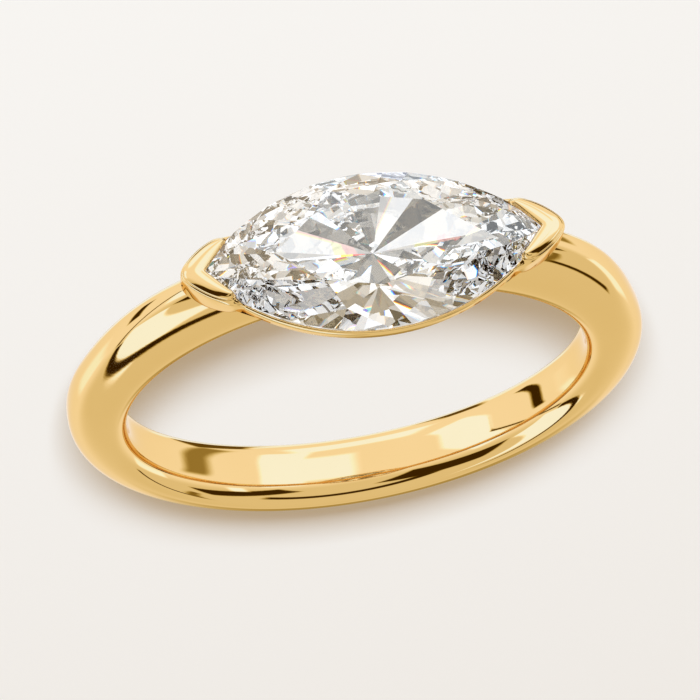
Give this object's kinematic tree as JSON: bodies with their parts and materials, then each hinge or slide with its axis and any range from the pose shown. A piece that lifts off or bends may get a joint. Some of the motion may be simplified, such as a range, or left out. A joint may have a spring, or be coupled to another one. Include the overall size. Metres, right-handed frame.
{
  "type": "east west ring",
  "caption": "Finger ring with a marquise cut stone set lengthwise along a domed band, held by a V claw at each point over a slim gallery rail.",
  "frame": {"origin": "centre of the finger hole, in the middle of the band's width", "axes": "the ring lies on its side: -Y runs from the finger hole to the stone, X runs along the stone, and the finger hole's axis leans 5.23 degrees from +Z towards +Y because the stone's gallery is wider than the band"},
  "size_m": [0.021, 0.0216, 0.006],
  "materials": {
    "yellow_gold": "mirror polished yellow gold alloy",
    "cut_stone": "polished facets, clear and colourless"
  },
  "bodies": {
    "root": {"mounting": "yellow_gold", "marquise_stone": "cut_stone"}
  },
  "joints": []
}
